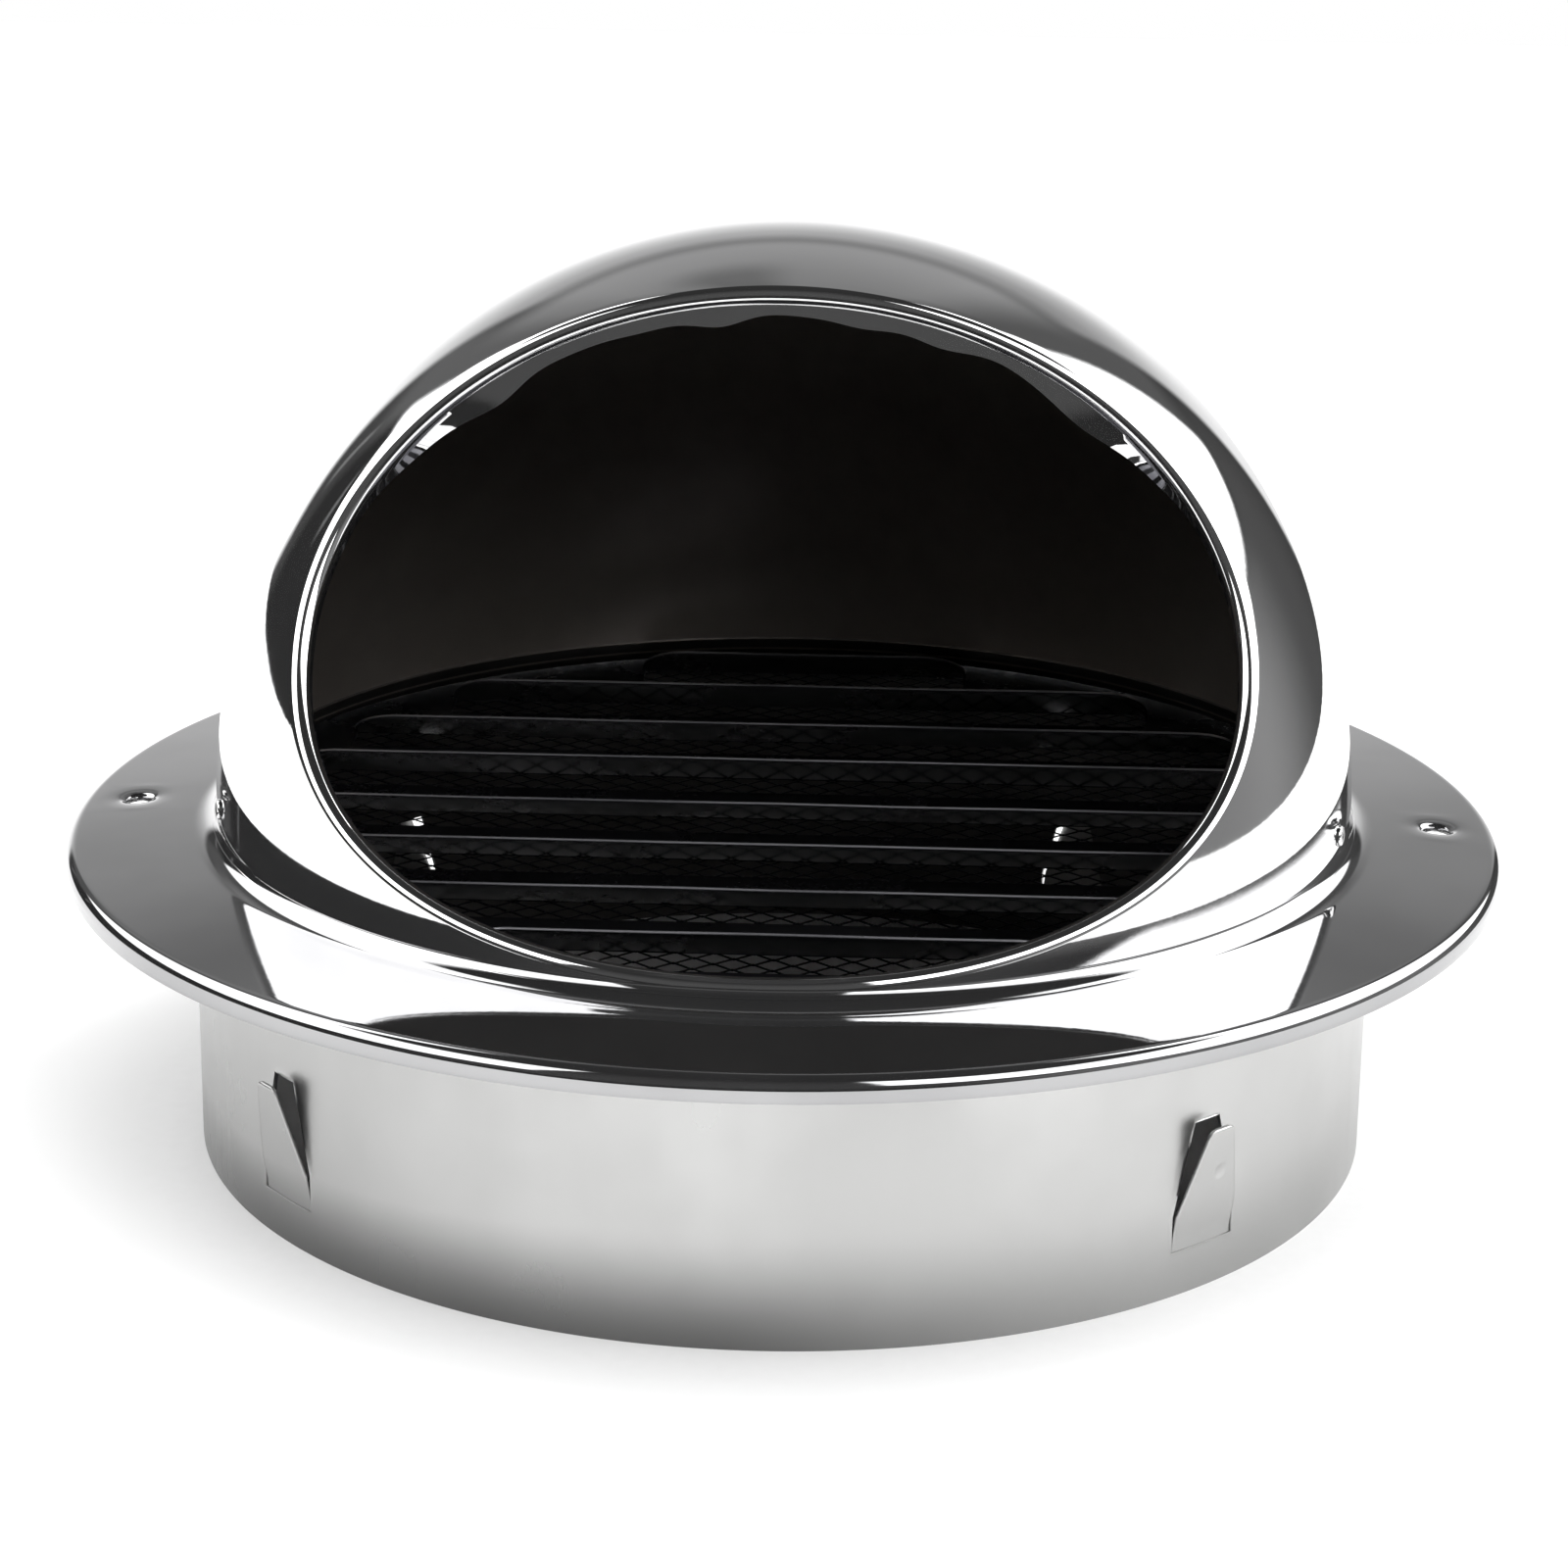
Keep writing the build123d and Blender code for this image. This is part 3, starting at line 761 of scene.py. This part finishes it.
def make_screen():
    """Expanded-metal screen of zigzag strands."""
    points = []
    faces = []
    quarter = CELL_LONG / 4
    spacing = CELL_SHORT / 2
    count = int(SCREEN_R / spacing)
    for row in range(-count, count + 1):
        centre_y = row * spacing
        furthest = abs(centre_y) + spacing / 2
        reach = sqrt(max(0.0, (SCREEN_R - STRAND_WIDTH) ** 2 - furthest ** 2))
        steps = int(reach / quarter)
        if steps < 2:
            continue
        flip = 1 if row % 2 else -1
        first = len(points)
        for i in range(-steps, steps + 1):
            phase = (0.0, 1.0, 0.0, -1.0)[i % 4]
            y = centre_y + flip * phase * (spacing / 2 - STRAND_WIDTH / 6)
            z = SCREEN_Z + flip * phase * SCREEN_WAVE
            for dy, dz in STRAND_SECTION:
                points.append((i * quarter, y + dy * STRAND_WIDTH, z + dz * STRAND_THICK))
        for i in range(2 * steps):
            a = first + 4 * i
            for k in range(4):
                m = (k + 1) % 4
                faces.append((a + k, a + m, a + 4 + m, a + 4 + k))
        last = first + 8 * steps
        faces.append((first, first + 1, first + 2, first + 3))
        faces.append((last, last + 1, last + 2, last + 3))
    # the screen gets the painted-shade steel
    return piece("screen", points, faces, [SHADED_SCREEN], "vent", ["mesh_screen"])


make_screen()

# ---------------------------------------------------------------- louvres
PLATE_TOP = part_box("louvre_plate")[0].z + THIN_SHEET
PLATE_UNDERSIDE = PLATE_TOP - THIN_SHEET
LOUVRE_COUNT = 8
LOUVRE_PITCH = 0.0224
LOUVRE_SHIFT = 0.0040
LOUVRE_RISE = 0.0056
LOUVRE_RUN = 0.0075
LOUVRE_SLOT_FRONT = 0.0024
LOUVRE_FIELD_R = 0.088
LOUVRE_END = 0.0090                  # length of the rounded ends
LOUVRE_END_STEPS = 12
LOUVRE_HALF_STEPS = 8
LOUVRE_BLUNT = 0.985                 # the rounded ends stop just short of zero height
LOUVRE_SECTION_STEPS = 6
LOUVRE_BULGE = 0.0005
NOSE_TURNS = (45, 90, 135)            # points of the lip's rounded edge
LIP_WAVE = (0.00007, 0.006)          # height and length of a lip's unevenness
PLATE_STRIPS = 96
SLAB_QUADS = ((0, 1, 2, 3), (7, 6, 5, 4), (0, 4, 5, 1), (1, 5, 6, 2), (2, 6, 7, 3), (3, 7, 4, 0))
LIP_ERRORS = (0.0, 0.0003, -0.0003, 0.0, -0.0008, -0.0005, -0.0006, 0.0)


def louvre_stations(half):
    """Places along a louvre with its height there as a share of the full height."""
    stations = []
    for i in range(LOUVRE_END_STEPS):
        u = LOUVRE_BLUNT * cos(pi / 2 * i / LOUVRE_END_STEPS)
        stations.append((half - LOUVRE_END + u * LOUVRE_END, sqrt(1 - u * u)))
    for i in range(LOUVRE_HALF_STEPS + 1):
        stations.append(((half - LOUVRE_END) * (1 - i / LOUVRE_HALF_STEPS), 1.0))
    return [(-x, h) for x, h in stations] + [(x, h) for x, h in stations[-2::-1]]


def louvre(points, faces, lips, root_y, half, error):
    """One blade, from its rear root up to a free rounded lip in front."""
    first = len(points)
    stations = louvre_stations(half)
    for x, share in stations:
        wave = LIP_WAVE[0] * ripple(x, root_y, 0.0, LIP_WAVE[1])
        rise = (LOUVRE_RISE + error + wave) * share - THIN_SHEET / 2
        run = LOUVRE_RUN * share
        length = hypot(rise, run)
        along = (-run / length, rise / length)
        normal = (along[1], -along[0])
        upper = []
        lower = []
        for k in range(LOUVRE_SECTION_STEPS + 1):
            t = k / LOUVRE_SECTION_STEPS
            bulge = LOUVRE_BULGE * share * sin(pi * t)
            y = root_y - run * t + normal[0] * bulge
            z = PLATE_TOP - THIN_SHEET / 2 + (rise + THIN_SHEET / 2) * t + normal[1] * -bulge
            upper.append((y + along[1] * THIN_SHEET / 2, z - along[0] * THIN_SHEET / 2))
            lower.append((y - along[1] * THIN_SHEET / 2, z + along[0] * THIN_SHEET / 2))
        tip_y = (upper[-1][0] + lower[-1][0]) / 2
        tip_z = (upper[-1][1] + lower[-1][1]) / 2
        nose = []
        for angle in NOSE_TURNS:
            t = radians(angle)
            ny = along[1] * cos(t) + along[0] * sin(t)
            nz = -along[0] * cos(t) + along[1] * sin(t)
            nose.append((tip_y + ny * THIN_SHEET / 2, tip_z + nz * THIN_SHEET / 2))
        for y, z in upper + nose + lower[::-1]:
            points.append((x, y, z))
    nose_start = LOUVRE_SECTION_STEPS + 1
    rows = 2 * nose_start + len(NOSE_TURNS)
    for j in range(len(stations) - 1):
        for i in range(rows):
            k = (i + 1) % rows
            a = first + j * rows
            if nose_start <= i <= nose_start + 1:
                lips.add(len(faces))
            faces.append((a + i, a + k, a + rows + k, a + rows + i))
    last = first + (len(stations) - 1) * rows
    faces.append(tuple(first + i for i in range(rows)))
    faces.append(tuple(last + i for i in range(rows)))


def make_louvres():
    """Stamped disc: flat webs round eight slots, and the blades over them."""
    points = []
    faces = []
    lips = set()
    slots = []
    for i in range(LOUVRE_COUNT):
        lip_y = LOUVRE_SHIFT + LOUVRE_PITCH * ((LOUVRE_COUNT - 1) / 2 - i)
        half = sqrt(LOUVRE_FIELD_R ** 2 - lip_y ** 2)
        slot_back = lip_y + LOUVRE_RUN - THIN_SHEET / 2
        slots.append((lip_y - LOUVRE_SLOT_FRONT, slot_back, half - THIN_SHEET))
        louvre(points, faces, lips, lip_y + LOUVRE_RUN, half, LIP_ERRORS[i])
    radius = LIP_R
    strips = {-radius * cos(pi * i / PLATE_STRIPS) for i in range(PLATE_STRIPS + 1)}
    levels = sorted(strips | {edge for slot in slots for edge in slot[:2]})

    def slab(y0, y1, x0a, x1a, x0b, x1b):
        base = add_ring(points, [
            (x0a, y0, PLATE_TOP), (x1a, y0, PLATE_TOP), (x1b, y1, PLATE_TOP), (x0b, y1, PLATE_TOP),
            (x0a, y0, PLATE_UNDERSIDE), (x1a, y0, PLATE_UNDERSIDE),
            (x1b, y1, PLATE_UNDERSIDE), (x0b, y1, PLATE_UNDERSIDE),
        ])
        for quad in SLAB_QUADS:
            faces.append(tuple(base[q] for q in quad))

    for y0, y1 in zip(levels, levels[1:]):
        edge0 = sqrt(max(0.0, radius ** 2 - y0 ** 2))
        edge1 = sqrt(max(0.0, radius ** 2 - y1 ** 2))
        middle = (y0 + y1) / 2
        inside = [slot for slot in slots if slot[0] < middle < slot[1]]
        if inside:
            half = inside[0][2]
            slab(y0, y1, -edge0, -half, -edge1, -half)
            slab(y0, y1, half, edge0, half, edge1)
        else:
            slab(y0, y1, -edge0, edge0, -edge1, edge1)
    # the lip faces get the painted-highlight steel
    steels = [SHADED_LOUVRE, LOUVRE_LIP_HIGHLIGHT]
    plate = piece("louvres", points, faces, steels, "vent", ["louvre_plate"])
    for index in lips:
        plate.data.polygons[index].material_index = 1
    return plate


make_louvres()

for name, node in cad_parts.items():
    if name == "spigot_welds" or name.startswith("hood_rivet"):
        node.data.materials.clear()
        node.data.materials.append(SLEEVE if name == "spigot_welds" else RIVET)


# ---------------------------------------------------------------- studio
FLOOR_LEFT = -1.90
FLOOR_RIGHT = 0.48
FLOOR_FRONT = -0.30
FLOOR_BACK = 1.5
FLOOR_GLOW = 0.35                    # the table top glows a little by itself: painted light
FLOOR_PALE = ((0.90, 0.90, 0.90, 1), (0.94, 0.94, 0.94, 1))
FLOOR_FIBRE = 400.0
FLOOR_ROUGH = 0.9
GLOW_STARTS = (SLEEVE_R, 1.4 * SLEEVE_R)   # none under the vent, all of it this far out; the ramp leaves a painted darker ring round the vent's foot


def make_floor():
    """Pale table top with a painted glow that fades out round the vent's foot."""
    corners = [
        (FLOOR_LEFT, FLOOR_FRONT, 0), (FLOOR_RIGHT, FLOOR_FRONT, 0),
        (FLOOR_RIGHT, FLOOR_BACK, 0), (FLOOR_LEFT, FLOOR_BACK, 0),
    ]
    mesh = bpy.data.meshes.new("floor")
    mesh.from_pydata(corners, [], [(0, 1, 2, 3)])
    floor = bpy.data.objects.new("floor", mesh)
    bpy.context.scene.collection.objects.link(floor)
    material = bpy.data.materials.new("floor_paper")
    material.use_nodes = True
    n = Nodes(material.node_tree)
    shader = material.node_tree.nodes["Principled BSDF"]
    coords = n.add("ShaderNodeTexCoord").outputs["Object"]
    fibre = n.noise(coords, FLOOR_FIBRE, 3.0)
    n.link(n.mix(fibre, *FLOOR_PALE), shader.inputs["Base Color"])
    shader.inputs["Roughness"].default_value = FLOOR_ROUGH
    shader.inputs["Emission Color"].default_value = (1, 1, 1, 1)
    split = n.add("ShaderNodeSeparateXYZ")
    n.link(coords, split.inputs[0])
    x_squared = n.math("MULTIPLY", split.outputs["X"], split.outputs["X"])
    y_squared = n.math("MULTIPLY", split.outputs["Y"], split.outputs["Y"])
    from_axis = n.math("SQRT", n.math("ADD", x_squared, y_squared))
    # painted glow, fading to none round the vent's foot
    n.link(n.span(from_axis, *GLOW_STARTS, 0.0, FLOOR_GLOW), shader.inputs["Emission Strength"])
    mesh.materials.append(material)


# The studio's lights are patches of the sky. Azimuths run from the camera's side (-Y) over +X.
DARK_STUDIO = 0.028
PATCHES = (                          # azimuths, elevations, soft edges of both, radiance
    ((146, 217), (13, 60), (3, 3), 0.10),
    ((40, 126), (-30, 12), (16, 2), 0.30),
    ((104, 157), (-30, 12), (16, 3), 0.07),
    ((206, 218), (-4, 40), (2, 2), 0.05),
    ((214.6, 215.6), (6, 12), (0.5, 1.5), 0.25),
)
SLANTED_GAP = ((227.4, 228.4), (8, 15), (0.5, 1.5), 0.25)
GAP_LEAN = 0.3                       # its azimuth moves by this much per degree of elevation
BACKDROP_AZIMUTHS = (158, 230)
BACKDROP_LEAN = 0.45
BACKDROP_SLANTED = (100, 213)        # its edges in the azimuth that leans with elevation
BACKDROP_FADES = (19, 25)            # elevations over which it ends
BACKDROP_GLOW = (0, 20, 1.9, 0.48)   # two elevations and the radiance at each
BACKDROP_SHADE = (160, 184, 0.62, 1.0)
CEILING = ((160, 207), (24, 58), (6, 4))
CEILING_GLOW = (26, 48, 0.33, 0.19)
CEILING_SPOT = ((184, 196), (34, 42), 4, 0.6)   # azimuths, elevations it comes in over, edge, share
AHEAD_LIMITS = (-0.9, -0.4)          # the room before the table, by the direction's Y
AHEAD_RADIANCE = 0.07
AHEAD_ABOVE = (-4, 4)
BOX_FRONT_RIGHT = 18.0               # azimuths of the softboxes' front and rear edges
BOX_REAR_RIGHT = 149.0
BOX_FRONT_LEFT = 324.0
BOX_REAR_LEFT = 217.5
BOX_EDGE = 1.5
BOX_TOP_FRONT = 53.0                 # elevations of their top edges
BOX_TOP_BACK = 62.0
BOX_TOP_EDGE = 2.5
BOX_TOP_LEFT = (228, 250)            # azimuths between which the top edge comes down
BOX_TOP_RIGHT = (115, 137)
BOX_FOOT_LEFT = (222, 250, 18.0, 20.0)
BOX_FOOT_RIGHT = (45, 80, 20.0, 12.0)
RIGHT_RADIANCE = 4.6
LEFT_RADIANCE = 4.2
REAR_SEAM = (180, 181)               # where the left box's rules take over from the right one's


class Sky(Nodes):
    """Shader nodes that draw patches by the azimuth and elevation of a direction."""

    def __init__(self, tree):
        super().__init__(tree)
        direction = self.add("ShaderNodeSeparateXYZ")
        self.link(self.add("ShaderNodeTexCoord").outputs["Generated"], direction.inputs[0])
        x, self.y, z = direction.outputs
        turn = self.math("ARCTAN2", x, self.math("MULTIPLY", self.y, -1.0))
        azimuth = self.math("MULTIPLY", turn, degrees(1))
        self.azimuth = self.math("FLOORED_MODULO", self.math("ADD", azimuth, 360.0), 360.0)
        self.elevation = self.math("MULTIPLY", self.math("ARCSINE", z), degrees(1))

    def between(self, value, limits, soft):
        rising = self.span(value, limits[0] - soft, limits[0] + soft)
        falling = self.span(value, limits[1] - soft, limits[1] + soft, 1.0, 0.0)
        return self.math("MULTIPLY", rising, falling)

    def patch(self, azimuth, azimuths, elevations, soft, radiance=1.0):
        wide = self.between(azimuth, azimuths, soft[0])
        high = self.between(self.elevation, elevations, soft[1])
        return self.math("MULTIPLY", self.math("MULTIPLY", wide, high), radiance)

    def backdrop(self):
        """Pale paper behind the table, brightest at its foot."""
        raised = self.math("MAXIMUM", self.elevation, 0.0)
        leaning = self.math("ADD", self.azimuth, self.math("MULTIPLY", raised, BACKDROP_LEAN))
        paper = self.math(
            "MULTIPLY", self.between(self.azimuth, BACKDROP_AZIMUTHS, 1.5),
            self.between(leaning, BACKDROP_SLANTED, 2.0),
        )
        paper = self.math("MULTIPLY", paper, self.span(self.elevation, *BACKDROP_FADES, 1.0, 0.0))
        paper = self.math("MULTIPLY", paper, self.span(self.elevation, *BACKDROP_GLOW))
        return self.math("MULTIPLY", paper, self.span(self.azimuth, *BACKDROP_SHADE))

    def ceiling(self):
        """Dim ceiling above the backdrop, with a darker spot in it."""
        roof = self.patch(self.azimuth, *CEILING)
        roof = self.math("MULTIPLY", roof, self.span(self.elevation, *CEILING_GLOW))
        azimuths, elevations, soft, share = CEILING_SPOT
        spot = self.between(self.azimuth, azimuths, soft)
        spot = self.math("MULTIPLY", spot, self.span(self.elevation, *elevations))
        return self.math("MULTIPLY", roof, self.math("SUBTRACT", 1.0, self.math("MULTIPLY", spot, share)))

    def ahead(self):
        """Dim room in front of the table."""
        near = self.span(self.y, *AHEAD_LIMITS, AHEAD_RADIANCE, 0.0)
        return self.math("MULTIPLY", near, self.span(self.elevation, *AHEAD_ABOVE))

    def box(self, azimuths, foot, radiance):
        """One softbox without its top edge."""
        low = self.span(self.azimuth, *foot)
        above = self.span(self.math("SUBTRACT", self.elevation, low), -1.0, 1.0)
        lit = self.math("MULTIPLY", self.between(self.azimuth, azimuths, BOX_EDGE), above)
        return self.math("MULTIPLY", lit, radiance)

    def boxes(self):
        """The two large softboxes at the sides."""
        right = self.box((BOX_FRONT_RIGHT, BOX_REAR_RIGHT), BOX_FOOT_RIGHT, RIGHT_RADIANCE)
        left = self.box((BOX_REAR_LEFT, BOX_FRONT_LEFT), BOX_FOOT_LEFT, LEFT_RADIANCE)
        left_top = self.span(self.azimuth, *BOX_TOP_LEFT, BOX_TOP_BACK, BOX_TOP_FRONT)
        right_top = self.span(self.azimuth, *BOX_TOP_RIGHT, BOX_TOP_FRONT, BOX_TOP_BACK)
        past_seam = self.span(self.azimuth, *REAR_SEAM, 0.0, 90.0)
        top = self.math("MINIMUM", left_top, self.math("MAXIMUM", right_top, past_seam))
        below_top = self.math("SUBTRACT", self.elevation, top)
        under_roof = self.span(below_top, -BOX_TOP_EDGE, BOX_TOP_EDGE, 1.0, 0.0)
        return self.math("MULTIPLY", self.math("ADD", right, left), under_roof)


def make_world():
    """Dim studio round the table, with a pale backdrop; plain white where the camera sees it."""
    world = bpy.data.worlds.new("studio")
    bpy.context.scene.world = world
    world.use_nodes = True
    world.node_tree.nodes.clear()
    sky = Sky(world.node_tree)
    slanted = sky.math("ADD", sky.azimuth, sky.math("MULTIPLY", sky.elevation, GAP_LEAN))
    lights = [sky.backdrop(), sky.ceiling(), sky.ahead(), sky.boxes(), sky.patch(slanted, *SLANTED_GAP)]
    lights += [sky.patch(sky.azimuth, *rules) for rules in PATCHES]
    total = lights[0]
    for light in lights[1:]:
        total = sky.math("ADD", total, light)
    studio = sky.add("ShaderNodeBackground")
    sky.link(sky.math("ADD", total, DARK_STUDIO), studio.inputs["Strength"])
    plain = sky.add("ShaderNodeBackground")
    plain.inputs["Color"].default_value = (1, 1, 1, 1)
    both = sky.add("ShaderNodeMixShader")
    sky.link(sky.add("ShaderNodeLightPath").outputs["Is Camera Ray"], both.inputs[0])
    sky.link(studio.outputs[0], both.inputs[1])
    sky.link(plain.outputs[0], both.inputs[2])
    sky.link(both.outputs[0], sky.add("ShaderNodeOutputWorld").inputs["Surface"])


CAMERA_DISTANCE = 0.6764
CAMERA_AZIMUTH = 2.35
CAMERA_ELEVATION = 17.555
CAMERA_ROLL = 0.63
CAMERA_TARGET = Vector((0, 0, 0.0578))
CAMERA_LENS = 91.9
CAMERA_SENSOR = 36.0
CAMERA_NEAR = 0.01


def make_camera():
    """Camera in front of the mouth, a little to its right and looking down."""
    turn = radians(CAMERA_AZIMUTH)
    rise = radians(CAMERA_ELEVATION)
    away = Vector((sin(turn) * cos(rise), -cos(turn) * cos(rise), sin(rise)))
    data = bpy.data.cameras.new("camera")
    data.lens = CAMERA_LENS
    data.sensor_width = CAMERA_SENSOR
    data.clip_start = CAMERA_NEAR
    camera = bpy.data.objects.new("camera", data)
    bpy.context.scene.collection.objects.link(camera)
    camera.rotation_mode = "QUATERNION"
    tilt = away.to_track_quat("Z", "Y").to_matrix() @ Matrix.Rotation(radians(CAMERA_ROLL), 3, "Z")
    camera.rotation_quaternion = tilt.to_quaternion()
    camera.location = CAMERA_TARGET + away * CAMERA_DISTANCE
    bpy.context.scene.camera = camera


make_floor()
make_world()
make_camera()
bpy.context.scene.view_settings.view_transform = "Standard"
